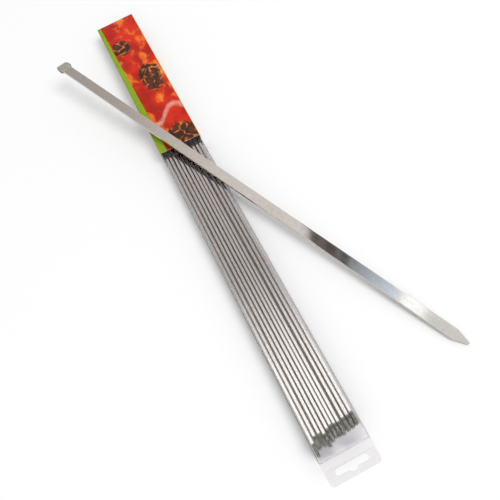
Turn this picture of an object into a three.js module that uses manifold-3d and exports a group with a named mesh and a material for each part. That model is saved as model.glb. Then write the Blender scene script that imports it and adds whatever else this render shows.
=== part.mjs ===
// Set of flat kebab skewers: eleven on edge in a clear folding box with a hang tab,
// a printed card sleeve round the far end of the box, and one skewer lying across it.
// Millimetres, +Z up. X is across the box, +Y runs from the hang tab to the far end,
// and the origin is the middle of the sleeve's underside, on the table.

import * as THREE from 'three';
import { mergeVertices } from 'three/addons/utils/BufferGeometryUtils.js';
import Module from 'manifold-3d';

const wasm = await Module();
wasm.setup();

// Skewer
const skewerLength = 480;
const bladeWidth = 10;
const bladeThickness = 2.4;
const bladeEdgeBreak = 0.3;
const pointLength = 12.5;
const pointRadius = 1.2;
const headLength = 11;
const headWidth = 14;
const headThickness = 2.8;
const headEdgeBreak = 0.45;
const headCornerRadius = 1.6;
const headEndWidth = 12.6;
const headWidestAt = 5;
const neckLength = 3;
const headSlant = 0.9;

// How the skewers stand in the box, on edge with small gaps between their heads
const restGap = 0.3;
const packedCount = 11;
const packedGap = 0.85;
const packedGapShares = [1, 1.43, 0.78, 1, 0.79, 0.36, 0.57, 1.86, 1.21, 1];
const packedSetbackShares = [0.1, 0.28, 0.29, 0.2, 0.3, 0.36, 0.34, 0.33, 0.37, 0.38, 0.42];
const packedEndRoom = 24;
const packedSideRoom = 1.35;
const packedHeadroom = 3;

// Clear box, made to hold the packed skewers
const packedGaps = packedGap * packedGapShares.reduce((sum, share) => sum + share, 0);
const packedSpan = headThickness * (packedCount - 1) + packedGaps;
const boxLength = skewerLength + packedEndRoom;
const boxWidth = packedSpan + headThickness + 2 * packedSideRoom;
const boxHeight = headWidth + packedHeadroom;
const sheet = 0.4;
const creaseGap = 0.05;
const flapGap = 0.3;
const endOverhang = 0.5;
const tongueLength = 8;
const tongueInset = 2.5;
const tongueGap = 0.2;
const dustFlapShare = 0.43;
const dustFlapSlant = 4;
const dustFlapRelief = 1.6;
const glueFlapMargin = 6;
const glueFlapTaper = 5;

// Hang tab
const tabLength = 17.4;
const tabThickness = 0.6;
const tabCreaseGap = 0.7;
const tabCornerRadius = 3.2;
const slotLength = 27;
const slotWidth = 5;
const slotPlaceShare = 0.553;
const slotBumpRadius = 4.4;

// Card sleeve
const card = 0.45;
const sleeveLength = 194;
const sleeveGap = 0.3;
const sleeveSetback = 0.5;

// How the loose skewer crosses the box, ahead of the sleeve
const crossingAngle = THREE.MathUtils.degToRad(24.9);
const crossingFromSleeve = 55.5;
const crossingPointShare = 0.531;

// Finishes
const steel = { color: 0xb9b4ae, roughness: 0.3, metalness: 1 };
const clearPlastic = { color: 0xe9e6f0, roughness: 0.1, metalness: 0, transparent: true, opacity: 0.35 };
const redPrint = { color: 0xcc3a20, roughness: 0.5, metalness: 0 };
const greenPrint = { color: 0x87a51e, roughness: 0.5, metalness: 0 };

const boxBottom = card + sleeveGap;
const boxTop = boxBottom + boxHeight;
const boxFloor = boxBottom + sheet;
const boxCeiling = boxTop - sheet;
const halfWidth = boxWidth / 2;
const halfInside = halfWidth - sheet;
const sleeveFar = boxLength - sleeveSetback;
const sleeveNear = sleeveFar - sleeveLength;

const part = new THREE.Group();
const pack = new THREE.Group();
pack.position.y = -(sleeveNear + sleeveFar) / 2;
part.add(pack);

function addMesh(parent, name, geometry, finish) {
  const mesh = new THREE.Mesh(geometry, new THREE.MeshStandardMaterial(finish));
  mesh.name = name;
  parent.add(mesh);
  return mesh;
}

// A slab between two corners, each given as [x, y, z].
function addSlab(parent, name, low, high, finish) {
  const size = high.map((value, axis) => value - low[axis]);
  const mesh = addMesh(parent, name, new THREE.BoxGeometry(...size), finish);
  mesh.position.set(...low.map((value, axis) => value + size[axis] / 2));
  return mesh;
}

function toSolid(geometry) {
  const plain = geometry.clone();
  plain.deleteAttribute('normal');
  plain.deleteAttribute('uv');
  const merged = mergeVertices(plain);
  return new wasm.Manifold(new wasm.Mesh({
    numProp: 3,
    vertProperties: new Float32Array(merged.attributes.position.array),
    triVerts: new Uint32Array(merged.index.array),
  }));
}

function toGeometry(solid) {
  const mesh = solid.getMesh();
  const geometry = new THREE.BufferGeometry();
  geometry.setAttribute('position', new THREE.BufferAttribute(new Float32Array(mesh.vertProperties), 3));
  geometry.setIndex(new THREE.BufferAttribute(new Uint32Array(mesh.triVerts), 1));
  geometry.computeVertexNormals();
  return geometry;
}

// A flat outline as a plate centred on z = 0, its rims broken inside the outline.
function bevelledPlate(outline, thickness, rim) {
  const plate = new THREE.ExtrudeGeometry(outline, {
    depth: thickness - 2 * rim,
    steps: 1,
    curveSegments: 3,
    bevelThickness: rim,
    bevelSize: rim,
    bevelOffset: -rim,
    bevelSegments: 1,
  });
  plate.translate(0, 0, rim - thickness / 2);
  return plate;
}

// Blade from inside the head to the point, on the axis from the head's end at y = 0.
function bladeOutline() {
  const half = bladeWidth / 2;
  const shoulder = skewerLength - pointLength;
  const arcCentre = skewerLength - pointRadius;
  const rise = arcCentre - shoulder;
  const flank = Math.acos(pointRadius / Math.hypot(half, rise)) - Math.atan2(rise, half);
  const outline = new THREE.Shape();
  outline.moveTo(-half, headLength / 2);
  outline.lineTo(half, headLength / 2);
  outline.lineTo(half, shoulder);
  outline.absarc(0, arcCentre, pointRadius, flank, Math.PI - flank, false);
  outline.lineTo(-half, shoulder);
  outline.closePath();
  return outline;
}

// Flared head: a slightly slanted end with rounded corners, ears, and a neck down to the blade.
function headOutline() {
  const half = bladeWidth / 2;
  const ear = headWidth / 2;
  const end = headEndWidth / 2;
  const outline = new THREE.Shape();
  outline.moveTo(-end + headCornerRadius, headSlant);
  outline.lineTo(end - headCornerRadius, 0);
  outline.quadraticCurveTo(end, 0, end, headCornerRadius);
  outline.lineTo(ear, headWidestAt);
  outline.lineTo(ear, headLength - neckLength);
  outline.quadraticCurveTo(ear - headCornerRadius, headLength - neckLength / 2, half, headLength);
  outline.lineTo(-half, headLength);
  outline.quadraticCurveTo(-ear + headCornerRadius, headLength - neckLength / 2, -ear, headLength - neckLength);
  outline.lineTo(-ear, headWidestAt);
  outline.lineTo(-end, headSlant + headCornerRadius);
  outline.quadraticCurveTo(-end, headSlant, -end + headCornerRadius, headSlant);
  return outline;
}

function skewerGeometry() {
  const blade = toSolid(bevelledPlate(bladeOutline(), bladeThickness, bladeEdgeBreak));
  const head = toSolid(bevelledPlate(headOutline(), headThickness, headEdgeBreak));
  return toGeometry(blade.add(head));
}

function addTube() {
  const near = -endOverhang;
  const far = boxLength + endOverhang;
  addSlab(pack, 'bottom_panel', [-halfWidth, 0, boxBottom], [halfWidth, boxLength, boxFloor], clearPlastic);
  addSlab(pack, 'top_panel', [-halfWidth, near, boxCeiling], [halfWidth, far, boxTop], clearPlastic);
  const wallLow = boxFloor + creaseGap;
  const wallHigh = boxCeiling - creaseGap;
  addSlab(pack, 'left_panel', [-halfWidth, 0, wallLow], [-halfInside, boxLength, wallHigh], clearPlastic);
  addSlab(pack, 'right_panel', [halfInside, 0, wallLow], [halfWidth, boxLength, wallHigh], clearPlastic);
}

// The flap that closes the tube, lying against the inside of the right wall, its ends cut back.
function addGlueFlap() {
  const outline = new THREE.Shape();
  const low = boxFloor + flapGap;
  const high = boxCeiling - sheet - 2 * tongueGap - flapGap;
  outline.moveTo(-glueFlapMargin, low);
  outline.lineTo(-glueFlapMargin - glueFlapTaper, high);
  outline.lineTo(glueFlapMargin + glueFlapTaper - boxLength, high);
  outline.lineTo(glueFlapMargin - boxLength, low);
  outline.closePath();
  const geometry = new THREE.ExtrudeGeometry(outline, { depth: sheet, bevelEnabled: false });
  const flap = addMesh(pack, 'glue_flap', geometry, clearPlastic);
  flap.rotation.set(Math.PI / 2, 0, -Math.PI / 2, 'ZYX');
  flap.position.x = halfInside - creaseGap;
}

// An end panel outside the tube's end, and the tongue that tucks in under the top panel.
// side is -1 at the hang tab end and 1 at the far end.
function addClosure(label, endY, side) {
  const face = endY + side * creaseGap;
  const back = face + side * sheet;
  const panelHigh = boxCeiling - tongueGap - creaseGap;
  const half = halfWidth - flapGap;
  addSlab(pack, `${label}_end_panel`, [-half, Math.min(face, back), boxBottom + creaseGap],
    [half, Math.max(face, back), panelHigh], clearPlastic);

  const tongue = new THREE.Shape();
  const root = half - flapGap;
  tongue.moveTo(-root, 0);
  tongue.lineTo(root, 0);
  tongue.lineTo(root - tongueInset, tongueLength);
  tongue.lineTo(tongueInset - root, tongueLength);
  tongue.closePath();
  const geometry = new THREE.ExtrudeGeometry(tongue, { depth: sheet, bevelEnabled: false });
  const tongueMesh = addMesh(pack, `${label}_tongue`, geometry, clearPlastic);
  tongueMesh.position.set(0, endY, boxCeiling - tongueGap - sheet);
  if (side > 0) {
    tongueMesh.rotation.z = Math.PI;
  }
}

// A dust flap folded in from a side wall behind the end panel, its free edge cut at a slant.
// It stops below the tongue, which dips as the end panel opens.
// hand is -1 on the left wall and 1 on the right.
function addDustFlap(label, endY, side, hand) {
  const low = boxFloor + flapGap;
  const high = boxCeiling - tongueGap - sheet - dustFlapRelief;
  const root = halfInside - flapGap;
  const dustFlapLength = boxWidth * dustFlapShare;
  const outline = new THREE.Shape();
  outline.moveTo(hand * root, low);
  outline.lineTo(hand * root, high);
  outline.lineTo(hand * (root - dustFlapLength + dustFlapSlant), high);
  outline.lineTo(hand * (root - dustFlapLength), (low + high) / 2);
  outline.lineTo(hand * (root - dustFlapLength + dustFlapSlant), low);
  outline.closePath();
  const geometry = new THREE.ExtrudeGeometry(outline, { depth: sheet, bevelEnabled: false });
  const flap = addMesh(pack, `${label}_dust_flap_${hand < 0 ? 'left' : 'right'}`, geometry, clearPlastic);
  flap.rotation.x = Math.PI / 2;
  flap.position.y = endY - side * flapGap + (side < 0 ? sheet : 0);
}

// The tab beyond the top panel's crease, with a slot for a display hook.
function addHangTab() {
  const outline = new THREE.Shape();
  const corner = tabCornerRadius;
  outline.moveTo(halfWidth, 0);
  outline.lineTo(-halfWidth, 0);
  outline.lineTo(-halfWidth, corner - tabLength);
  outline.absarc(corner - halfWidth, corner - tabLength, corner, Math.PI, 1.5 * Math.PI, false);
  outline.lineTo(halfWidth - corner, -tabLength);
  outline.absarc(halfWidth - corner, corner - tabLength, corner, 1.5 * Math.PI, 2 * Math.PI, false);
  outline.closePath();

  const slot = new THREE.Path();
  const slotFromCrease = tabLength * slotPlaceShare;
  const end = slotWidth / 2;
  const reach = slotLength / 2 - end;
  const bumpHalf = Math.sqrt(slotBumpRadius ** 2 - end ** 2);
  const bumpAngle = Math.asin(end / slotBumpRadius);
  slot.moveTo(-reach, end - slotFromCrease);
  slot.lineTo(reach, end - slotFromCrease);
  slot.absarc(reach, -slotFromCrease, end, Math.PI / 2, -Math.PI / 2, true);
  slot.lineTo(bumpHalf, -slotFromCrease - end);
  slot.absarc(0, -slotFromCrease, slotBumpRadius, -bumpAngle, bumpAngle - Math.PI, true);
  slot.lineTo(-reach, -slotFromCrease - end);
  slot.absarc(-reach, -slotFromCrease, end, 1.5 * Math.PI, Math.PI / 2, true);
  outline.holes.push(slot);

  const geometry = new THREE.ExtrudeGeometry(outline, {
    depth: tabThickness, bevelEnabled: false, curveSegments: 5,
  });
  const tab = addMesh(pack, 'hang_tab', geometry, clearPlastic);
  tab.position.set(0, -endOverhang - tabCreaseGap, boxTop - tabThickness);
}

function addSleeve() {
  const inside = halfWidth + sleeveGap;
  const outside = inside + card;
  const ceiling = boxTop + sleeveGap;
  addSlab(pack, 'card_bottom', [-outside, sleeveNear, 0], [outside, sleeveFar, card], greenPrint);
  addSlab(pack, 'card_top', [-outside, sleeveNear, ceiling], [outside, sleeveFar, ceiling + card], redPrint);
  const wallLow = card + creaseGap;
  const wallHigh = ceiling - creaseGap;
  addSlab(pack, 'card_left', [-outside, sleeveNear, wallLow], [-inside, sleeveFar, wallHigh], greenPrint);
  addSlab(pack, 'card_right', [inside, sleeveNear, wallLow], [outside, sleeveFar, wallHigh], redPrint);
}

// Skewers on edge, heads towards the hang tab, each leaning down from its ear to its shoulder.
function addPackedSkewers(geometry) {
  const nearStop = flapGap + sheet;
  const play = boxLength - 2 * nearStop - skewerLength;
  const lean = Math.atan2((headWidth - bladeWidth) / 2, skewerLength - headLength - pointLength);
  let x = -packedSpan / 2 - sheet / 2;
  for (let index = 0; index < packedCount; index += 1) {
    const holder = new THREE.Group();
    holder.position.set(x, nearStop + play * packedSetbackShares[index], boxFloor + restGap + headWidth / 2);
    holder.rotation.x = -lean;
    pack.add(holder);
    const name = `packed_skewer_${String(index + 1).padStart(2, '0')}`;
    const skewer = addMesh(holder, name, geometry, steel);
    skewer.rotation.y = Math.PI / 2;
    x += headThickness + packedGap * (packedGapShares[index] ?? 0);
  }
}

// The loose skewer's underside rests along the right top edge of the box and its point on the table.
function addLooseSkewer(geometry) {
  const crossingFromPoint = skewerLength * crossingPointShare;
  const sideReach = crossingFromPoint * Math.sin(crossingAngle);
  const tilt = new THREE.Group();
  tilt.position.set(halfWidth, sleeveNear - crossingFromSleeve, boxTop + restGap);
  tilt.rotation.y = Math.asin(boxTop / sideReach);
  pack.add(tilt);
  const turn = new THREE.Group();
  turn.rotation.z = Math.PI + crossingAngle;
  tilt.add(turn);
  const skewer = addMesh(turn, 'loose_skewer', geometry, steel);
  skewer.position.set(0, crossingFromPoint - skewerLength, bladeThickness / 2);
}

addTube();
addGlueFlap();
addClosure('near', 0, -1);
addClosure('far', boxLength, 1);
for (const hand of [-1, 1]) {
  addDustFlap('near', 0, -1, hand);
  addDustFlap('far', boxLength, 1, hand);
}
addHangTab();
addSleeve();
const skewer = skewerGeometry();
addPackedSkewers(skewer);
addLooseSkewer(skewer);

export default part;
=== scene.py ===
import math

import bmesh
import bpy
from mathutils import Matrix, Vector, noise


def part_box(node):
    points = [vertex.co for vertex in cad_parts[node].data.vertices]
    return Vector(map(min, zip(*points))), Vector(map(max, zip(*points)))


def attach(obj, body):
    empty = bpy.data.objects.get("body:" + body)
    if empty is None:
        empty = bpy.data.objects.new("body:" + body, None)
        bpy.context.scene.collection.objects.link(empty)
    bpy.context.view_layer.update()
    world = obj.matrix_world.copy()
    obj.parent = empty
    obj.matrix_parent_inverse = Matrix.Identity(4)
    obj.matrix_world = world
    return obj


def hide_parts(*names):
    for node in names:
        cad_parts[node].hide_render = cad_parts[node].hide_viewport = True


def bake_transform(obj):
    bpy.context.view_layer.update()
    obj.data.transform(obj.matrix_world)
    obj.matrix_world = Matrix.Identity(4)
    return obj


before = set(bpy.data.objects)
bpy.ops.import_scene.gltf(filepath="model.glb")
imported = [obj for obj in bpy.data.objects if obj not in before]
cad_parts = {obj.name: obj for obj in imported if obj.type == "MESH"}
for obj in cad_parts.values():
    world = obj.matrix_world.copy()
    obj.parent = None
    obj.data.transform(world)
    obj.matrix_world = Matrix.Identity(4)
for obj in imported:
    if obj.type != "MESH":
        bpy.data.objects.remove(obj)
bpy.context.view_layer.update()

mm = 0.001
print("frame loaded:", len(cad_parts), "solids")


# node tree helpers: a socket passed as a value is linked, anything else is set

def addNode(tree, kind, **settings):
    node = tree.nodes.new(kind)
    for name, value in settings.items():
        setattr(node, name, value)
    return node


def feed(tree, socket, value):
    if isinstance(value, bpy.types.NodeSocket):
        tree.links.new(value, socket)
    else:
        socket.default_value = value


def calc(tree, operation, a, b=0.0):
    node = addNode(tree, "ShaderNodeMath", operation=operation)
    for socket, value in zip(node.inputs, (a, b)):
        feed(tree, socket, value)
    return node.outputs[0]


def mixColours(tree, factor, a, b):
    node = addNode(tree, "ShaderNodeMix", data_type="RGBA")
    for socket, value in zip((node.inputs[0], node.inputs[6], node.inputs[7]), (factor, a, b)):
        feed(tree, socket, value)
    return node.outputs[2]


def spread(tree, value, low, high, newLow=0.0, newHigh=1.0, kind="SMOOTHSTEP"):
    node = addNode(tree, "ShaderNodeMapRange", interpolation_type=kind)
    for socket, item in zip(node.inputs, (value, low, high, newLow, newHigh)):
        feed(tree, socket, item)
    return node.outputs[0]


def scaled(tree, vector, x, y, z):
    node = addNode(tree, "ShaderNodeVectorMath", operation="MULTIPLY")
    feed(tree, node.inputs[0], vector)
    node.inputs[1].default_value = (x, y, z)
    return node.outputs[0]


def noiseOf(tree, vector, scale, detail, roughness, seed, distortion=0.0):
    node = addNode(tree, "ShaderNodeTexNoise", noise_dimensions="4D")
    for name, value in (("Vector", vector), ("W", seed), ("Scale", scale), ("Detail", detail),
                        ("Roughness", roughness), ("Distortion", distortion)):
        feed(tree, node.inputs[name], value)
    return node.outputs["Fac"]


def attributeOf(tree, name):
    return addNode(tree, "ShaderNodeAttribute", attribute_name=name).outputs["Fac"]


def placeOf(tree):
    return addNode(tree, "ShaderNodeTexCoord").outputs["Object"]


def bumpOf(tree, height, strength, distance):
    node = addNode(tree, "ShaderNodeBump")
    for name, value in (("Height", height), ("Strength", strength), ("Distance", distance)):
        feed(tree, node.inputs[name], value)
    return node.outputs["Normal"]


def colour(red, green, blue):  # as read off a screen, 0 to 255
    def linear(value):
        value /= 255
        return value / 12.92 if value <= 0.04045 else ((value + 0.055) / 1.055) ** 2.4
    return (linear(red), linear(green), linear(blue), 1.0)


def newGroup(name, inputs, outputs):
    tree = bpy.data.node_groups.new(name, "ShaderNodeTree")
    for label, kind, value in inputs:
        socket = tree.interface.new_socket(label, in_out="INPUT", socket_type="NodeSocket" + kind)
        if value is not None:
            socket.default_value = value
    for label, kind in outputs:
        tree.interface.new_socket(label, in_out="OUTPUT", socket_type="NodeSocket" + kind)
    return tree, addNode(tree, "NodeGroupInput").outputs, addNode(tree, "NodeGroupOutput").inputs


def useGroup(tree, group, **values):
    node = addNode(tree, "ShaderNodeGroup", node_tree=group)
    for name, value in values.items():
        feed(tree, node.inputs[name], value)
    return node.outputs


def newMaterial(name):
    material = bpy.data.materials.new(name)
    material.use_nodes = True
    tree = material.node_tree
    surface = next(node for node in tree.nodes if node.type == "BSDF_PRINCIPLED")
    return material, tree, surface.inputs


# effects shared by several materials

speckleShape = {
    "detail": (3.0, 2.0), "roughness": 0.6, "fineRatio": 3.7, "coarseShare": 0.68,
    "edgeAtNoCover": 0.68, "edgePerCover": 0.36, "softness": 0.05,  # where the mask cuts the noise
}


def makeSpeckle(s):  # fine irregular specks: scale on steel, fibres in card, scuffs on the sheet
    tree, given, out = newGroup("speckle", [
        ("Place", "Vector", None), ("Size", "Float", 1.0), ("Seed", "Float", 0.0), ("Cover", "Float", 0.5),
    ], [("Mask", "Float"), ("Height", "Float")])
    frequency = calc(tree, "DIVIDE", 1000.0, given["Size"])  # Size in mm
    finer = calc(tree, "MULTIPLY", frequency, s["fineRatio"])
    coarse = noiseOf(tree, given["Place"], frequency, s["detail"][0], s["roughness"], given["Seed"])
    fine = noiseOf(tree, given["Place"], finer, s["detail"][1], s["roughness"], given["Seed"])
    both = calc(tree, "ADD", calc(tree, "MULTIPLY", coarse, s["coarseShare"]),
                calc(tree, "MULTIPLY", fine, 1 - s["coarseShare"]))
    edge = calc(tree, "SUBTRACT", s["edgeAtNoCover"], calc(tree, "MULTIPLY", given["Cover"], s["edgePerCover"]))
    low, high = calc(tree, "SUBTRACT", edge, s["softness"]), calc(tree, "ADD", edge, s["softness"])
    feed(tree, out["Mask"], spread(tree, both, low, high))
    feed(tree, out["Height"], both)
    return tree


drawnShape = {
    "lineStretch": 0.012, "lineDetail": 3.0, "lineRoughness": 0.65,
    "waveStretch": 0.55, "wavesPerMetre": 26.0, "waveDetail": 1.0, "waveRoughness": 0.4,
}


def makeDrawnLines(s):  # faint lines and slow waves drawn out along Y, in rolled steel and in drawn sheet
    tree, given, out = newGroup("drawnLines", [
        ("Place", "Vector", None), ("Width", "Float", 0.5), ("Seed", "Float", 0.0),
    ], [("Lines", "Float"), ("Waves", "Float")])
    frequency = calc(tree, "DIVIDE", 1000.0, given["Width"])  # Width in mm
    stretched = scaled(tree, given["Place"], 1.0, s["lineStretch"], 1.0)
    lines = noiseOf(tree, stretched, frequency, s["lineDetail"], s["lineRoughness"], given["Seed"])
    feed(tree, out["Lines"], lines)
    stretched = scaled(tree, given["Place"], 1.0, s["waveStretch"], 1.0)
    waves = noiseOf(tree, stretched, s["wavesPerMetre"], s["waveDetail"], s["waveRoughness"], given["Seed"])
    feed(tree, out["Waves"], waves)
    return tree


speckle = makeSpeckle(speckleShape)
drawnLines = makeDrawnLines(drawnShape)


# materials

steelLook = {
    "blade": colour(199, 195, 190), "bladeDull": colour(186, 181, 175),
    "bladeRoughness": (0.04, 0.1), "roughnessLines": (0.3, 0.75),  # least to most, over this stretch of the lines
    "lineWidth": 0.9, "grainSize": 2.4, "grainCover": 0.5, "grainContrast": 3.5,
    "head": colour(160, 159, 149), "headWorn": colour(174, 172, 162),  # the wide faces of the head
    "rim": colour(118, 117, 107), "rimLight": colour(148, 147, 136),  # its narrow sides, painted darker than the wide faces: painted shade of the packed heads seen side-on
    "rimPits": colour(50, 47, 42), "pitDepth": 0.85, "headRougher": 0.36, "headLessMetal": 0.35,
    "scaleSize": 1.6, "scaleStretch": 0.3, "scaleCover": 0.5, "pitSize": 0.9, "pitStretch": 0.6, "pitCover": 0.4,
    "lineRelief": 0.01, "waveRelief": 0.03, "wideFaceRelief": 0.25, "bumpStrength": 0.7, "bumpDistance": 0.0004,
}


def makeSteel(look):
    material, tree, surface = newMaterial("skewerSteel")
    place = placeOf(tree)
    seed, head, rim = (attributeOf(tree, name) for name in ("pieceSeed", "headMask", "rimMask"))
    lines = useGroup(tree, drawnLines, Place=place, Width=look["lineWidth"], Seed=seed)
    grain = useGroup(tree, speckle, Place=place, Size=look["grainSize"], Seed=seed, Cover=look["grainCover"])
    stretched = scaled(tree, place, 1.0, look["scaleStretch"], 1.0)
    scale = useGroup(tree, speckle, Place=stretched, Size=look["scaleSize"], Seed=seed, Cover=look["scaleCover"])
    stretched = scaled(tree, place, 1.0, look["pitStretch"], 1.0)
    pits = useGroup(tree, speckle, Place=stretched, Size=look["pitSize"], Seed=seed, Cover=look["pitCover"])
    patchy = calc(tree, "MULTIPLY", calc(tree, "SUBTRACT", grain["Height"], 0.5), look["grainContrast"])
    blade = mixColours(tree, calc(tree, "ADD", lines["Lines"], patchy), look["bladeDull"], look["blade"])
    flat = mixColours(tree, scale["Mask"], look["head"], look["headWorn"])
    # painted shade: the narrow sides take darker tones than the wide faces, standing in for the shade between packed
    # heads, and are darker still in the pits
    side = mixColours(tree, scale["Mask"], look["rim"], look["rimLight"])
    side = mixColours(tree, calc(tree, "MULTIPLY", pits["Mask"], look["pitDepth"]), side, look["rimPits"])
    feed(tree, surface["Base Color"], mixColours(tree, head, blade, mixColours(tree, rim, flat, side)))

    rougher = calc(tree, "MULTIPLY", head, look["headRougher"])
    bladeRough = spread(tree, lines["Lines"], *look["roughnessLines"], *look["bladeRoughness"])
    feed(tree, surface["Roughness"], calc(tree, "ADD", bladeRough, rougher))
    lessMetal = calc(tree, "MULTIPLY", head, look["headLessMetal"])
    feed(tree, surface["Metallic"], calc(tree, "SUBTRACT", 1.0, lessMetal))

    depth = calc(tree, "MULTIPLY", head, spread(tree, rim, 0.0, 1.0, look["wideFaceRelief"], 1.0))
    relief = calc(tree, "MULTIPLY", calc(tree, "ADD", scale["Height"], pits["Height"]), depth)
    relief = calc(tree, "ADD", relief, calc(tree, "MULTIPLY", lines["Lines"], look["lineRelief"]))
    relief = calc(tree, "ADD", relief, calc(tree, "MULTIPLY", lines["Waves"], look["waveRelief"]))
    feed(tree, surface["Normal"], bumpOf(tree, relief, look["bumpStrength"], look["bumpDistance"]))
    return material


# cover: how much of the sheet is seen at all, shade: how much of the light it stops
tubeLook = {"tint": colour(249, 248, 250), "roughness": (0.0, 0.05), "index": 1.24, "cover": 1.0, "shade": 0.04}
closureLook = {"tint": colour(247, 244, 250), "roughness": (0.0, 0.05), "index": 1.38, "cover": 0.5, "shade": 0.04}
tabLook = {"tint": colour(238, 236, 238), "roughness": (0.0, 0.08), "index": 1.42, "cover": 1.0, "shade": 0.05}
hemLook = {"tint": colour(242, 242, 242), "roughness": (0.0, 0.1), "index": 1.45, "cover": 1.0, "shade": 0.05}
sheetSurface = {
    "scuffSize": 5.0, "scuffStretch": 0.2, "scuffCover": 0.25, "scuffSeed": 2.0,
    "lineWidth": 6.0, "lineSeed": 5.0, "lineRelief": 0.15, "bumpStrength": 0.3, "bumpDistance": 0.0003,
}


def makeClearSheet(name, look, s):
    material, tree, surface = newMaterial(name)
    place = placeOf(tree)
    surface["Base Color"].default_value = look["tint"]
    surface["Transmission Weight"].default_value = 1.0
    surface["IOR"].default_value = look["index"]
    stretched = scaled(tree, place, 1.0, s["scuffStretch"], 1.0)
    scuffs = useGroup(tree, speckle, Place=stretched, Size=s["scuffSize"], Seed=s["scuffSeed"], Cover=s["scuffCover"])
    lines = useGroup(tree, drawnLines, Place=place, Width=s["lineWidth"], Seed=s["lineSeed"])
    feed(tree, surface["Roughness"], spread(tree, scuffs["Mask"], 0.0, 1.0, *look["roughness"]))
    height = calc(tree, "ADD", lines["Waves"], calc(tree, "MULTIPLY", lines["Lines"], s["lineRelief"]))
    feed(tree, surface["Normal"], bumpOf(tree, height, s["bumpStrength"], s["bumpDistance"]))
    path = addNode(tree, "ShaderNodeLightPath").outputs  # light goes through, only sight is bent by the sheet
    passing = calc(tree, "MAXIMUM", path["Is Shadow Ray"], path["Is Diffuse Ray"])
    passed = calc(tree, "MULTIPLY", passing, look["cover"] - look["shade"])
    feed(tree, surface["Alpha"], calc(tree, "SUBTRACT", look["cover"], passed))
    return material


printLook = {  # places and sizes in mm: across from the middle of the top, along from the near end
    "blurScale": 0.05, "warmScale": 0.062, "warmStretch": 0.75, "warmDistortion": 0.4, "raggedScale": 0.14,
    "grainSize": 3.0, "grainSpread": (0.3, 0.7),
    "red": colour(214, 44, 20), "redDeep": colour(174, 28, 14), "redSpread": (0.36, 0.62),
    "orange": colour(240, 112, 36), "orangeSpread": (0.5, 0.61),
    "amber": colour(246, 172, 84), "amberSpread": (0.6, 0.72),
    "coal": colour(58, 34, 26), "coalLight": colour(128, 70, 44), "coalFacing": (0.1, 0.55, 0.8), "coalsPerMm": 0.11,
    "glow": colour(240, 130, 44), "crackWidth": 0.13, "crackBreaks": (0.42, 0.6),
    "banks": (  # each is across, along, half its width, half its length
        (7.0, 96.0, 12.0, 22.0), (-7.0, 152.0, 10.0, 12.0), (8.0, 10.0, 15.0, 17.0),
    ),
    "bankRaggedness": 0.9, "bankEdge": (0.85, 1.05),
    "smoke": colour(240, 214, 190), "wispAt": 32.0, "wispDrift": 18.0, "wispRise": 8.0, "wispTurn": 0.13,
    "wispWidth": (0.5, 6.0), "wispStrength": 0.9,
    "green": colour(140, 170, 26), "greenDeep": colour(130, 161, 24),
    "length": 194.0, "greenNear": -14.0, "greenFar": -17.8, "greenRight": 21.4,
    "darkRight": (20.6, 21.2), "darkStrength": 0.5,
    "thrown": colour(176, 172, 168),  # what the card throws on the floor
    "roughness": (0.36, 0.5), "bumpStrength": 0.25, "bumpDistance": 0.0001, "gloss": 0.22,
}


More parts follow.
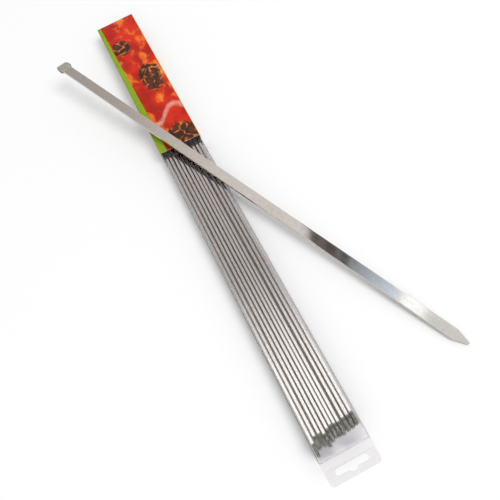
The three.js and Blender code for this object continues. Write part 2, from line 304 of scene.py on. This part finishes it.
def makePrint(look):
    material, tree, surface = newMaterial("printedCard")
    across, along = attributeOf(tree, "acrossCard"), attributeOf(tree, "alongCard")
    node = addNode(tree, "ShaderNodeCombineXYZ")
    feed(tree, node.inputs[0], across)
    feed(tree, node.inputs[1], along)
    spot = node.outputs[0]
    stretched = scaled(tree, spot, 1.0, look["warmStretch"], 1.0)
    inMetres = scaled(tree, spot, mm, mm, mm)
    blur = noiseOf(tree, spot, look["blurScale"], 2.0, 0.5, 3.1)
    warm = noiseOf(tree, stretched, look["warmScale"], 3.0, 0.55, 7.7, look["warmDistortion"])
    ragged = noiseOf(tree, spot, look["raggedScale"], 3.0, 0.55, 1.3)
    grain = useGroup(tree, speckle, Place=inMetres, Size=look["grainSize"], Seed=4.0, Cover=0.5)

    printed = mixColours(tree, spread(tree, blur, *look["redSpread"]), look["redDeep"], look["red"])
    printed = mixColours(tree, spread(tree, warm, *look["orangeSpread"]), printed, look["orange"])
    printed = mixColours(tree, spread(tree, warm, *look["amberSpread"]), printed, look["amber"])

    edges = addNode(tree, "ShaderNodeTexVoronoi", feature="DISTANCE_TO_EDGE")
    lumps = addNode(tree, "ShaderNodeTexVoronoi", feature="SMOOTH_F1")
    for cells in (edges, lumps):
        feed(tree, cells.inputs["Vector"], spot)
        feed(tree, cells.inputs["Scale"], look["coalsPerMm"])
    crack = spread(tree, edges.outputs["Distance"], 0.0, look["crackWidth"], 1.0, 0.0)
    crack = calc(tree, "MULTIPLY", crack, spread(tree, ragged, *look["crackBreaks"]))
    facing = spread(tree, lumps.outputs["Distance"], *look["coalFacing"], 0.0)
    facing = calc(tree, "MULTIPLY", facing, grain["Height"])
    coal = mixColours(tree, facing, look["coal"], look["coalLight"])
    coal = mixColours(tree, crack, coal, look["glow"])

    def bankAt(x, y, halfWide, halfLong):  # soft ragged oval, 1 inside
        dx = calc(tree, "DIVIDE", calc(tree, "SUBTRACT", across, x), halfWide)
        dy = calc(tree, "DIVIDE", calc(tree, "SUBTRACT", along, y), halfLong)
        squares = calc(tree, "ADD", calc(tree, "MULTIPLY", dx, dx), calc(tree, "MULTIPLY", dy, dy))
        shift = calc(tree, "MULTIPLY", calc(tree, "SUBTRACT", ragged, 0.5), look["bankRaggedness"])
        reach = calc(tree, "ADD", calc(tree, "SQRT", squares), shift)
        return spread(tree, reach, *look["bankEdge"], 1.0, 0.0)

    banks = 0.0
    for bank in look["banks"]:
        banks = calc(tree, "MAXIMUM", bankAt(*bank), banks)
    printed = mixColours(tree, banks, printed, coal)

    wave = calc(tree, "SINE", calc(tree, "MULTIPLY", across, look["wispTurn"]))
    level = calc(tree, "SUBTRACT", along, calc(tree, "MULTIPLY", wave, look["wispRise"]))
    middle = calc(tree, "ADD", look["wispAt"], calc(tree, "MULTIPLY", blur, look["wispDrift"]))
    wisp = calc(tree, "ABSOLUTE", calc(tree, "SUBTRACT", level, middle))
    wisp = calc(tree, "MULTIPLY", spread(tree, wisp, *look["wispWidth"], look["wispStrength"], 0.0), ragged)
    printed = mixColours(tree, wisp, printed, look["smoke"])

    green = mixColours(tree, grain["Mask"], look["greenDeep"], look["green"])
    border = spread(tree, along, 0.0, look["length"], look["greenNear"], look["greenFar"], "LINEAR")
    dark = spread(tree, across, *look["darkRight"], 0.0, look["darkStrength"])
    printed = mixColours(tree, dark, printed, look["redDeep"])
    printed = mixColours(tree, calc(tree, "LESS_THAN", across, border), printed, green)
    printed = mixColours(tree, calc(tree, "GREATER_THAN", across, look["greenRight"]), printed, green)

    path = addNode(tree, "ShaderNodeLightPath").outputs
    feed(tree, surface["Base Color"], mixColours(tree, path["Is Diffuse Ray"], printed, look["thrown"]))
    feed(tree, surface["Roughness"], spread(tree, grain["Height"], *look["grainSpread"], *look["roughness"]))
    feed(tree, surface["Normal"], bumpOf(tree, grain["Height"], look["bumpStrength"], look["bumpDistance"]))
    surface["Specular IOR Level"].default_value = look["gloss"]
    return material


cardLook = {
    "board": colour(246, 243, 238), "fibre": colour(228, 223, 214), "fibreSize": 0.8,
    "roughness": (0.75, 0.9), "fibreSpread": (0.3, 0.7), "bumpStrength": 0.5, "bumpDistance": 0.0001,
}


def makeBareCard(look):
    material, tree, surface = newMaterial("bareCard")
    fibres = useGroup(tree, speckle, Place=placeOf(tree), Size=look["fibreSize"], Seed=9.0, Cover=0.5)
    feed(tree, surface["Base Color"], mixColours(tree, fibres["Mask"], look["board"], look["fibre"]))
    feed(tree, surface["Roughness"], spread(tree, fibres["Height"], *look["fibreSpread"], *look["roughness"]))
    feed(tree, surface["Normal"], bumpOf(tree, fibres["Height"], look["bumpStrength"], look["bumpDistance"]))
    return material


steel = makeSteel(steelLook)
clearSheet = makeClearSheet("clearSheet", tubeLook, sheetSurface)
closureSheet = makeClearSheet("closureSheet", closureLook, sheetSurface)
tabSheet = makeClearSheet("tabSheet", tabLook, sheetSurface)
hemSheet = makeClearSheet("hemSheet", hemLook, sheetSurface)
printedCard = makePrint(printLook)
bareCard = makeBareCard(cardLook)
print("materials made")


# mesh helpers, all in mm

def newPiece(name, mesh, materials):
    piece = bpy.data.objects.new(name, mesh)
    bpy.context.scene.collection.objects.link(piece)
    for material in materials:
        mesh.materials.append(material)
    mesh.shade_smooth()
    piece.modifiers.new("flatFaces", "WEIGHTED_NORMAL").weight = 60  # keeps flat faces flat next to rounded edges
    return piece


def meshFrom(name, points, faces, faceMaterials=None):
    mesh = bpy.data.meshes.new(name)
    mesh.from_pydata([Vector(point) * mm for point in points], [], faces)
    if faceMaterials:
        mesh.polygons.foreach_set("material_index", faceMaterials)
    tool = bmesh.new()
    tool.from_mesh(mesh)
    bmesh.ops.recalc_face_normals(tool, faces=tool.faces)
    tool.to_mesh(mesh)
    tool.free()
    mesh.update()
    return mesh


def setAttribute(mesh, name, values):
    mesh.attributes.new(name, "FLOAT", "POINT").data.foreach_set("value", values)


def smooth(value, low, high):
    share = min(1.0, max(0.0, (value - low) / (high - low)))
    return share * share * (3 - 2 * share)


def roundedOff(radius, left):  # how far an edge rounded by this radius draws in, this far before its end
    return radius - math.sqrt(max(0.0, radius ** 2 - (radius - left) ** 2)) if left < radius else 0.0


def boxMm(node):
    low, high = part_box(node)
    return low / mm, high / mm


# skewers

skewerSizes = {
    "length": 480, "bladeWidth": 10, "bladeThickness": 2.4, "bladeEdge": 0.2,
    "pointLength": 12.5, "pointRadius": 1.2, "tipHalfWidth": 0.3, "tipEdge": 0.4,
    "headLength": 11, "headWidth": 14, "headEndWidth": 12.6, "headWidestAt": 5, "headThickness": 2.75,
    "headEdge": 0.4, "headCorner": 1.6, "neckLength": 3, "headSlant": 0.9,
    "sideRelief": 0.12, "faceRelief": 0.03, "reliefScale": 0.55, "scaleEnds": (1.6, 0.2),  # rough scale on the head
    "columns": 14, "bladeRows": 14,
}


def skewerHalfWidth(y, s):
    half, ear, end, corner = s["bladeWidth"] / 2, s["headWidth"] / 2, s["headEndWidth"] / 2, s["headCorner"]
    neck = s["headLength"] - s["neckLength"]
    shoulder, arcCentre = s["length"] - s["pointLength"], s["length"] - s["pointRadius"]
    if y < corner:
        return end - roundedOff(corner, y)
    if y < s["headWidestAt"]:
        return end + (ear - end) * (y - corner) / (s["headWidestAt"] - corner)
    if y < neck:
        return ear
    if y < s["headLength"]:  # one arc drawn from the ear into the blade
        t = (y - neck) / s["neckLength"]
        return (1 - t) ** 2 * ear + 2 * t * (1 - t) * (ear - corner) + t * t * half
    if y < shoulder:
        return half
    rise = arcCentre - shoulder
    flank = math.acos(s["pointRadius"] / math.hypot(half, rise)) - math.atan2(rise, half)
    meet = arcCentre + s["pointRadius"] * math.sin(flank)
    if y < meet:
        return half + (s["pointRadius"] * math.cos(flank) - half) * (y - shoulder) / (meet - shoulder)
    return math.sqrt(max(0.0, s["pointRadius"] ** 2 - (y - arcCentre) ** 2))


def skewerStations(s):  # from the head's end to the tip, close together where the outline bends
    tip, shoulder = s["length"], s["length"] - s["pointLength"]
    bladeFrom, bladeTo = 16, shoulder - 0.8
    stations = [0.0, 0.12, 0.3, 0.55] + [0.55 + 0.5 * step for step in range(1, 26)]
    stations += [bladeFrom + (bladeTo - bladeFrom) * step / s["bladeRows"] for step in range(s["bladeRows"] + 1)]
    stations += [shoulder + past for past in (-0.15, 0.15, 0.8)]
    stations += [shoulder + 2 + 1.15 * step for step in range(8)]
    return stations + [tip - left for left in (1.9, 1.2, 0.7, 0.3, 0.1)]


def skewerRing(halfWidth, halfThick, edge, columns):  # (x, z, normal x, normal z) round the strip
    flat, core = halfWidth - edge, halfThick - edge
    ring = [(-flat + 2 * flat * step / columns, halfThick, 0, 1) for step in range(columns + 1)]
    for step in (1, 2, 3):
        turn = math.radians(30 * step)
        ring.append((flat + edge * math.sin(turn), core + edge * math.cos(turn), math.sin(turn), math.cos(turn)))
    ring.append((halfWidth, 0, 1, 0))
    ring += [(x, -z, nx, -nz) for x, z, nx, nz in ring[-2::-1]]
    ring += [(-x, z, -nx, nz) for x, z, nx, nz in ring[-columns - 2:columns:-1] if x > halfWidth - edge * 0.999]
    return ring


def skewerMesh(name, seed, s):
    points, headMask, rimMask = [], [], []
    stations = skewerStations(s)
    scaleFrom, scaleTo = (s["headLength"] - back for back in s["scaleEnds"])
    for y in stations:
        headShare = 1 - smooth(y, s["headWidestAt"], s["headLength"] + s["neckLength"])
        halfWidth = max(s["tipHalfWidth"], skewerHalfWidth(y, s))
        halfThick = (s["bladeThickness"] + (s["headThickness"] - s["bladeThickness"]) * headShare) / 2
        edge = s["bladeEdge"] + (s["headEdge"] - s["bladeEdge"]) * headShare
        halfThick -= roundedOff(edge, y) + roundedOff(s["tipEdge"], s["length"] - y)
        edge = min(edge, halfWidth * 0.45, halfThick * 0.7)
        ring = skewerRing(halfWidth, halfThick, edge, s["columns"])
        for x, z, nx, nz in ring:
            slant = s["headSlant"] * (0.5 - x / s["headEndWidth"]) * (1 - smooth(y, 0, s["headWidestAt"]))
            # each skewer is moved to its own stretch of the noise
            place = Vector((x, y, z)) * s["reliefScale"] + Vector((seed * 7.3, 0, seed * 3.1))
            lump = noise.noise(place) + 0.5 * noise.noise(place * 2.7)
            relief = s["faceRelief"] + (s["sideRelief"] - s["faceRelief"]) * nx * nx
            push = relief * lump * (1 - smooth(y, s["headLength"] - 2, s["headLength"]))
            points.append((x + nx * push, y + slant, z + nz * push))
            rimMask.append(abs(nx))
            headMask.append(1 - smooth(y + 0.5 * lump, scaleFrom, scaleTo))
    count = len(ring)
    faces = [tuple(reversed(range(count))), tuple(len(points) - count + step for step in range(count))]
    for row in range(len(stations) - 1):
        a, b = row * count, (row + 1) * count
        faces += [(a + step, a + (step + 1) % count, b + (step + 1) % count, b + step) for step in range(count)]
    mesh = meshFrom(name, points, faces)
    setAttribute(mesh, "headMask", headMask)
    setAttribute(mesh, "rimMask", rimMask)
    setAttribute(mesh, "pieceSeed", [seed] * len(points))
    return mesh


skewerPlaces = {
    "packed": 11, "packedMiddle": 8.45, "packedSeed": 1.37,
    "looseSeed": 0.4, "looseAt": (-72.27956, 51.69375, 34.91097),  # middle of the loose skewer's head end
    "looseTurn": ((-0.89455, 0.41524, 0.16540), (-0.42104, -0.90704, 0.0), (0.15003, -0.06964, 0.98623)),
}


def placeSkewers(s, places):
    bladeLength = s["length"] - s["headLength"] - s["pointLength"]
    lean = math.atan2((s["headWidth"] - s["bladeWidth"]) / 2, bladeLength)  # head and point both lie on the sheet
    onEdge = Matrix.Rotation(-lean, 4, "X") @ Matrix.Rotation(math.pi / 2, 4, "Y")
    for index in range(1, places["packed"] + 1):
        name, node = f"packedSkewer{index:02d}", f"packed_skewer_{index:02d}"
        low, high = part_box(node)
        piece = newPiece(name, skewerMesh(name, index * places["packedSeed"], s), [steel])
        middle = ((low.x + high.x) / 2, low.y, places["packedMiddle"] * mm)
        piece.matrix_world = Matrix.Translation(middle) @ onEdge
        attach(piece, f"skewer_{index:02d}")
        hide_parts(node)
    piece = newPiece("looseSkewer", skewerMesh("looseSkewer", places["looseSeed"], s), [steel])
    turn = Matrix(places["looseTurn"]).to_4x4()
    piece.matrix_world = Matrix.Translation(Vector(places["looseAt"]) * mm) @ turn
    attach(piece, "skewer_12")
    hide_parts("loose_skewer")


placeSkewers(skewerSizes, skewerPlaces)
print("skewers made")


# folded sheet and card

def roundedRing(left, right, low, high, radius):  # (x, z) points anticlockwise from the lower left
    ring = []
    for x, z, start in ((left + radius, low + radius, 180), (right - radius, low + radius, 270),
                        (right - radius, high - radius, 0), (left + radius, high - radius, 90)):
        for turned in (0, 22.5, 45, 67.5, 90):
            turn = math.radians(start + turned)
            ring.append((x + radius * math.cos(turn), z + radius * math.sin(turn)))
    return ring


def tubeMesh(name, outside, thickness, radius, stations, endShift, bareMaterial):
    left, right, low, high = outside
    outer = roundedRing(left, right, low, high, radius)
    inner = roundedRing(left + thickness, right - thickness, low + thickness, high - thickness, radius - thickness)
    count = len(outer)
    points, faces, kinds = [], [], []
    for y in stations:
        for x, z in outer + inner:
            points.append((x, y + endShift(y, z), z))
    for row in range(len(stations) - 1):
        for layer, kind in ((0, 0), (count, bareMaterial)):
            a, b = row * 2 * count + layer, (row + 1) * 2 * count + layer
            for step in range(count):
                nextStep = (step + 1) % count
                faces.append((a + step, a + nextStep, b + nextStep, b + step))
                kinds.append(kind)
    for a in (0, (len(stations) - 1) * 2 * count):
        for step in range(count):
            nextStep = (step + 1) % count
            faces.append((a + step, a + nextStep, a + count + nextStep, a + count + step))
            kinds.append(bareMaterial)
    return meshFrom(name, points, faces, kinds)


def ribbonMesh(name, stations, thickness):  # a thick strip along a path in the Y-Z plane
    columns = 10
    wide = columns + 1
    points, faces = [], []
    for y, z, normalY, normalZ, half in stations:
        for side in (1, -1):
            for step in range(wide):
                x = -half + 2 * half * step / columns
                points.append((x, y + side * normalY * thickness / 2, z + side * normalZ * thickness / 2))
    for row in range(len(stations) - 1):
        a, b = row * 2 * wide, (row + 1) * 2 * wide
        for layer in (0, wide):
            for step in range(layer, layer + columns):
                faces.append((a + step, a + step + 1, b + step + 1, b + step))
        for step in (0, columns):
            faces.append((a + step, b + step, b + wide + step, a + wide + step))
    for a in (0, (len(stations) - 1) * 2 * wide):
        faces += [(a + step, a + step + 1, a + wide + step + 1, a + wide + step) for step in range(columns)]
    return meshFrom(name, points, faces)


def plateMesh(name, outlines, thickness, rim):  # flat plate with broken rims, holes after the outer outline
    curve = bpy.data.curves.new(name + "Outline", "CURVE")
    curve.dimensions, curve.fill_mode = "2D", "BOTH"
    curve.extrude, curve.offset = thickness / 2 - rim, -rim
    curve.bevel_depth, curve.bevel_resolution = rim, 1
    for outline in outlines:
        spline = curve.splines.new("POLY")
        spline.points.add(len(outline) - 1)
        for point, (x, y) in zip(spline.points, outline):
            point.co = (x, y, 0, 1)
        spline.use_cyclic_u = True
    holder = bpy.data.objects.new(name + "Outline", curve)
    bpy.context.scene.collection.objects.link(holder)
    bpy.context.view_layer.update()
    mesh = bpy.data.meshes.new_from_object(holder.evaluated_get(bpy.context.evaluated_depsgraph_get()))
    bpy.data.objects.remove(holder)
    bpy.data.curves.remove(curve)
    mesh.name = name
    tool = bmesh.new()
    tool.from_mesh(mesh)
    bmesh.ops.remove_doubles(tool, verts=tool.verts, dist=0.002)
    bmesh.ops.recalc_face_normals(tool, faces=tool.faces)
    tool.to_mesh(mesh)
    tool.free()
    return mesh


def roundCorners(corners):  # corners as (x, y, radius)
    outline = []
    for index, (x, y, radius) in enumerate(corners):
        here = Vector((x, y))
        if radius < 0.01:
            outline.append(tuple(here))
            continue
        before = (Vector(corners[index - 1][:2]) - here).normalized()
        after = (Vector(corners[(index + 1) % len(corners)][:2]) - here).normalized()
        half = before.angle(after) / 2
        centre = here + (before + after).normalized() * radius / math.sin(half)
        start = here + before * radius / math.tan(half) - centre
        end = here + after * radius / math.tan(half) - centre
        sweep = start.angle_signed(end)
        for step in range(6):
            turn = -sweep * step / 5
            outline.append((centre.x + start.x * math.cos(turn) - start.y * math.sin(turn),
                            centre.y + start.x * math.sin(turn) + start.y * math.cos(turn)))
    return outline


# the tube of the clear box

tubeSizes = {"wall": 0.4, "creaseRadius": 0.85, "rows": 20, "overhangBelowTop": (2.2, 0.6), "flapRim": 0.1}


def makeTube(s):
    bottomLow, bottomHigh = boxMm("bottom_panel")
    topLow, topHigh = boxMm("top_panel")
    near, far, top = bottomLow.y, bottomHigh.y, topHigh.z
    overhang = near - topLow.y
    overhangFrom, overhangTo = (top - below for below in s["overhangBelowTop"])

    def overhangAt(y, z):  # the top panel runs a little past the ends of the other walls
        share = smooth(z, overhangFrom, overhangTo) * overhang
        return -share if y < near + 0.01 else share if y > far - 0.01 else 0

    stations = [near + (far - near) * step / s["rows"] for step in range(s["rows"] + 1)]
    outside = (bottomLow.x, bottomHigh.x, bottomLow.z, top)
    mesh = tubeMesh("clearTube", outside, s["wall"], s["creaseRadius"], stations, overhangAt, 0)
    piece = newPiece("clearTube", mesh, [clearSheet])
    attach(piece, "box")
    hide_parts("bottom_panel", "top_panel", "left_panel", "right_panel")
    dustFlaps = [f"{end}_dust_flap_{hand}" for end in ("near", "far") for hand in ("left", "right")]
    for node in ["glue_flap"] + dustFlaps:
        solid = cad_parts[node]
        solid.data.materials.clear()
        solid.data.materials.append(clearSheet)
        bevel = solid.modifiers.new("softRim", "BEVEL")
        bevel.width, bevel.segments = s["flapRim"] * mm, 2


makeTube(tubeSizes)


# end panels with their tongues

closureSizes = {
    "wall": 0.4, "bow": 0.9, "shoulder": 0.5, "shoulderFrom": 0.93,
    "foldRadius": 0.35, "foldTaper": 0.05, "tongueTaper": 2.5, "tongueCorner": 2.2, "tongueSpacing": 1.6,
    "bendFrom": 1.4, "bendTo": 0.5,  # the stretch that bends with the tongue's fold
}


def makeClosure(label, side, s):
    panelLow, panelHigh = boxMm(f"{label}_end_panel")
    tongueLow, tongueHigh = boxMm(f"{label}_tongue")
    panelY, tongueZ = (panelLow.y + panelHigh.y) / 2, (tongueLow.z + tongueHigh.z) / 2
    panelHalf, tongueHalf = panelHigh.x, tongueHigh.x
    inward, fold = -side, s["foldRadius"]
    stations = []
    for step in range(13):  # the end panel, bowed out a little
        share = step / 12
        z = panelLow.z + (tongueZ - fold - panelLow.z) * share
        bow = s["bow"] * math.sin(math.pi * share)
        half = panelHalf - s["shoulder"] * smooth(share, s["shoulderFrom"], 1)
        stations.append((panelY - inward * bow, z, side, 0, half))
    for step in range(1, 6):  # the fold
        turn = math.radians(90 * step / 5)
        stations.append((panelY + inward * fold * (1 - math.cos(turn)), tongueZ - fold + fold * math.sin(turn),
                         side * math.cos(turn), math.sin(turn), tongueHalf - s["foldTaper"] * step))
    start = panelY + inward * fold
    end = tongueHigh.y if side < 0 else tongueLow.y
    length = abs(end - start)
    for step in range(1, 13):  # the tongue, closer together towards its rounded end
        share = 1 - (1 - step / 12) ** s["tongueSpacing"]
        past = length * share
        half = tongueHalf - 5 * s["foldTaper"] - s["tongueTaper"] * share
        half -= roundedOff(s["tongueCorner"], length - past)
        stations.append((start + inward * past, tongueZ, 0, 1, half))
    name = f"{label}Closure"
    piece = newPiece(name, ribbonMesh(name, stations, s["wall"]), [closureSheet])
    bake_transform(piece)
    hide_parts(f"{label}_end_panel", f"{label}_tongue")


for label, side in (("near", -1), ("far", 1)):
    makeClosure(label, side, closureSizes)


# hang tab, its outer part folded under and doubled

tabSizes = {
    "side": 21, "corner": 3.2, "layer": 0.29, "rim": 0.12, "hemFrom": 5.8, "hemInset": 0.5, "hemCorner": 1,
    "slotLength": 27, "slotWidth": 5, "slotPlace": 9.62, "bumpRadius": 4.4,
    "crease": 0.4, "creaseInset": 0.1, "creaseRise": 0.12, "creaseHeight": 17.45,
}


def slotOutline(s):
    end, place, bump = s["slotWidth"] / 2, -s["slotPlace"], s["bumpRadius"]
    reach = s["slotLength"] / 2 - end
    bumpFrom = math.asin(end / bump)

    def endArc(middle, turns):
        turns = [math.radians(degrees) for degrees in turns]
        return [(middle + end * math.cos(turn), place + end * math.sin(turn)) for turn in turns]

    slot = endArc(reach, range(90, -91, -15))
    for step in range(13):
        turn = -bumpFrom - (math.pi - 2 * bumpFrom) * step / 12
        slot.append((bump * math.cos(turn), place + bump * math.sin(turn)))
    return slot + endArc(-reach, range(270, 89, -15))


def makeTab(s):
    low, high = boxMm("hang_tab")
    length, side, corner = high.y - low.y, s["side"], s["corner"]
    outer = roundCorners([(side, 0, 0), (-side, 0, 0), (-side, -length, corner), (side, -length, corner)])
    inset, hemCorner = s["hemInset"], s["hemCorner"]
    hemSide, hemEnd, endCorner = side - inset, inset - length, corner - inset
    hem = roundCorners([(hemSide, -s["hemFrom"], hemCorner), (-hemSide, -s["hemFrom"], hemCorner),
                        (-hemSide, hemEnd, endCorner), (hemSide, hemEnd, endCorner)])
    slot = slotOutline(s)
    for name, outline, z, sheet in (("hangTab", outer, high.z - s["layer"] / 2, tabSheet),
                                    ("hangTabHem", hem, low.z + s["layer"] / 2, hemSheet)):
        mesh = plateMesh(name, [outline, slot], s["layer"], s["rim"])
        mesh.transform(Matrix.Scale(mm, 4))
        piece = newPiece(name, mesh, [sheet])
        piece.location = (0, high.y * mm, z * mm)
        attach(piece, "tab")
        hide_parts("hang_tab")
    topLow, topHigh = boxMm("top_panel")
    stations = []
    for step in range(9):  # the crease between the top panel and the tab, a low ridge
        share = step / 8
        y = topLow.y - 0.01 + (high.y - topLow.y + 0.02) * share
        z = topHigh.z - 0.2 - 0.1 * share + s["creaseRise"] * math.sin(math.pi * share)
        stations.append((y, z, 0, 1, side - s["creaseInset"]))
    crease = newPiece("tabCrease", ribbonMesh("tabCrease", stations, s["crease"]), [clearSheet])
    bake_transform(crease)


makeTab(tabSizes)
print("clear box made")


# printed card sleeve

sleeveSizes = {"card": 0.45, "foldRadius": 0.9, "rows": 24}


def makeSleeve(s):
    low, high = boxMm("card_bottom")[0], boxMm("card_top")[1]
    stations = [low.y + (high.y - low.y) * step / s["rows"] for step in range(s["rows"] + 1)]
    outside = (low.x, high.x, low.z, high.z)
    mesh = tubeMesh("cardSleeve", outside, s["card"], s["foldRadius"], stations, lambda y, z: 0, 1)
    foldReach, flatTo = s["foldRadius"] * 1.01, high.x - s["foldRadius"] * 0.3
    across = []  # mm round the sleeve, 0 on the middle of its top
    for vertex in mesh.vertices:
        x, z = vertex.co.x / mm, vertex.co.z / mm
        if z > high.z - foldReach and abs(x) < flatTo:
            across.append(x)
        elif z < low.z + foldReach and abs(x) < flatTo:
            across.append(math.copysign(high.x + high.z + (high.x - abs(x)), x))
        else:
            across.append(math.copysign(high.x + (high.z - z), x))
    setAttribute(mesh, "acrossCard", across)
    setAttribute(mesh, "alongCard", [vertex.co.y / mm - low.y for vertex in mesh.vertices])
    piece = newPiece("cardSleeve", mesh, [printedCard, bareCard])
    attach(piece, "sleeve")
    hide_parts("card_top", "card_left", "card_right", "card_bottom")


makeSleeve(sleeveSizes)
print("sleeve made")


# floor, lights and camera

stageLook = {
    "floor": colour(254, 254, 254), "size": 12.0, "clearTo": 0.62, "whiteFrom": 1.3,
    "softLight": 0.68, "keyLight": 0.36, "keyFrom": (0.66, -0.75), "keyHeight": 56, "keyDistance": 6.0,
    "keySize": 3.2, "keyAim": (0, -0.15, 0),
}


def makeFloor(s):
    mesh = bpy.data.meshes.new("floor")
    half = s["size"] / 2
    mesh.from_pydata([(-half, -half, 0), (half, -half, 0), (half, half, 0), (-half, half, 0)], [], [(0, 1, 2, 3)])
    floor = bpy.data.objects.new("floor", mesh)
    bpy.context.scene.collection.objects.link(floor)
    material, tree, surface = newMaterial("paleFloor")
    surface["Base Color"].default_value = s["floor"]
    surface["Roughness"].default_value = 0.9
    surface["Specular IOR Level"].default_value = 0.0
    away = addNode(tree, "ShaderNodeVectorMath", operation="LENGTH")
    feed(tree, away.inputs[0], placeOf(tree))
    path = addNode(tree, "ShaderNodeLightPath").outputs
    seen = calc(tree, "MAXIMUM", path["Is Glossy Ray"], path["Is Transmission Ray"])
    seen = calc(tree, "MAXIMUM", path["Is Camera Ray"], seen)
    backdrop = calc(tree, "MULTIPLY", seen, spread(tree, away.outputs["Value"], s["clearTo"], s["whiteFrom"]))
    white = addNode(tree, "ShaderNodeEmission")
    white.inputs["Color"].default_value = (1, 1, 1, 1)
    both = addNode(tree, "ShaderNodeMixShader")  # beyond the shadows the floor is plain white backdrop
    feed(tree, both.inputs[0], backdrop)
    feed(tree, both.inputs[1], surface["Base Color"].node.outputs[0])
    feed(tree, both.inputs[2], white.outputs[0])
    output = next(node for node in tree.nodes if node.type == "OUTPUT_MATERIAL")
    feed(tree, output.inputs["Surface"], both.outputs[0])
    mesh.materials.append(material)


def makeKeyLight(s):
    lamp = bpy.data.lights.new("keyLight", "AREA")
    lamp.shape, lamp.size = "DISK", s["keySize"]
    height = math.radians(s["keyHeight"])
    # the power that lights a white floor to this share of full white
    lamp.energy = s["keyLight"] * math.pi ** 2 * s["keyDistance"] ** 2 / math.sin(height)
    out = Vector((*s["keyFrom"], 0)).normalized() * math.cos(height) + Vector((0, 0, math.sin(height)))
    light = bpy.data.objects.new("keyLight", lamp)
    light.location = out * s["keyDistance"] + Vector(s["keyAim"])
    light.rotation_mode = "QUATERNION"
    light.rotation_quaternion = out.to_track_quat("Z", "Y")
    light.visible_glossy = light.visible_transmission = False
    bpy.context.scene.collection.objects.link(light)


# what steel and clear sheet mirror: tones by turn from +Y towards +X and by height, both in degrees
studioLook = {
    "left": (0.872, 0.831, 0.805, 1), "middle": (1.11, 1.06, 1.03, 1), "right": (1.16, 1.16, 1.16, 1),
    "leftEnds": (20, 37), "rightBegins": (43, 50),
    "overhead": (2.05, 2.03, 1.98, 1), "overheadFrom": (67, 83), "level": (1, 1, 1, 1), "levelTo": (0, 25),
    "slantPerDegree": -0.5, "slantAbout": 53.0, "heightSoftness": 3.0,
    "sky": ((60.0, 72.5), (0.33, 0.36, 0.41, 1), (1.12, 1.28, 1.48, 1)),  # a pale blue gradient
    "cards": (  # turns, heights, softness at the sides, tone, or none for the sky
        ((-30, 22), (20, 48), 5.0, (0.654, 0.613, 0.586, 1)),
        ((51.2, 60.9), (44, 62), 0.8, (0.128, 0.11, 0.104, 1)),
        ((53.5, 54.9), (44, 62), 0.5, (0.3, 0.245, 0.225, 1)),
        ((57.4, 58.5), (44, 62), 0.5, (0.34, 0.335, 0.33, 1)),
        ((60.5, 72.6), (44, 62), 1.0, None),
        ((72.6, 78.2), (44, 62), 0.6, (1.91, 1.95, 2.01, 1)),
        ((78.2, 100), (44, 62), 2.0, (1.12, 1.14, 1.15, 1)),
    ),
}


def makeStudio(softLight, s):
    world = bpy.data.worlds.new("studio")
    bpy.context.scene.world = world
    world.use_nodes = True
    world.cycles.sampling_method = "NONE"
    tree = world.node_tree
    background = next(node for node in tree.nodes if node.type == "BACKGROUND")
    direction = addNode(tree, "ShaderNodeSeparateXYZ")
    feed(tree, direction.inputs[0], addNode(tree, "ShaderNodeTexCoord").outputs["Generated"])
    x, y, z = direction.outputs
    turn = calc(tree, "DEGREES", calc(tree, "ARCTAN2", x, y))
    height = calc(tree, "DEGREES", calc(tree, "ARCSINE", z))

    def band(value, low, high, soft):
        rise = spread(tree, value, low - soft, low + soft)
        return calc(tree, "MULTIPLY", rise, spread(tree, value, high - soft, high + soft, 1.0, 0.0))

    shade = mixColours(tree, spread(tree, turn, *s["leftEnds"]), s["left"], s["middle"])
    shade = mixColours(tree, spread(tree, turn, *s["rightBegins"]), shade, s["right"])
    shade = mixColours(tree, spread(tree, height, *s["overheadFrom"]), shade, s["overhead"])
    shade = mixColours(tree, spread(tree, height, *s["levelTo"], 1.0, 0.0), shade, s["level"])
    skyTurns, skyDark, skyBright = s["sky"]
    sky = mixColours(tree, spread(tree, turn, *skyTurns, 0.0, 1.0, "LINEAR"), skyDark, skyBright)
    above = calc(tree, "SUBTRACT", height, s["slantAbout"])
    slanted = calc(tree, "ADD", turn, calc(tree, "MULTIPLY", above, s["slantPerDegree"]))
    for turns, heights, soft, tone in s["cards"]:
        mask = calc(tree, "MULTIPLY", band(slanted, *turns, soft), band(height, *heights, s["heightSoftness"]))
        shade = mixColours(tree, mask, shade, tone or sky)

    path = addNode(tree, "ShaderNodeLightPath").outputs  # diffuse light comes evenly, the camera sees white
    shown = mixColours(tree, path["Is Glossy Ray"], (softLight, softLight, softLight, 1), shade)
    feed(tree, background.inputs["Color"], mixColours(tree, path["Is Camera Ray"], shown, (1, 1, 1, 1)))


cameraView = {
    "location": (-0.01295, -0.4003, 0.40546), "forward": (0.05436, 0.39847, -0.91557),
    "up": (0.46065, 0.80352, 0.37705), "lens": 34.97,
}


def makeCamera(s):
    data = bpy.data.cameras.new("camera")
    data.sensor_width, data.lens = 36, s["lens"]
    data.clip_start, data.clip_end = 0.01, 50
    camera = bpy.data.objects.new("camera", data)
    bpy.context.scene.collection.objects.link(camera)
    back = -Vector(s["forward"]).normalized()
    right = Vector(s["up"]).cross(back).normalized()
    up = back.cross(right)
    turn = Matrix((right, up, back)).transposed()
    camera.matrix_world = Matrix.Translation(s["location"]) @ turn.to_4x4()
    bpy.context.scene.camera = camera


makeFloor(stageLook)
makeKeyLight(stageLook)
makeStudio(stageLook["softLight"], studioLook)
makeCamera(cameraView)
bpy.context.scene.view_settings.view_transform = "Standard"
print("stage and camera made")
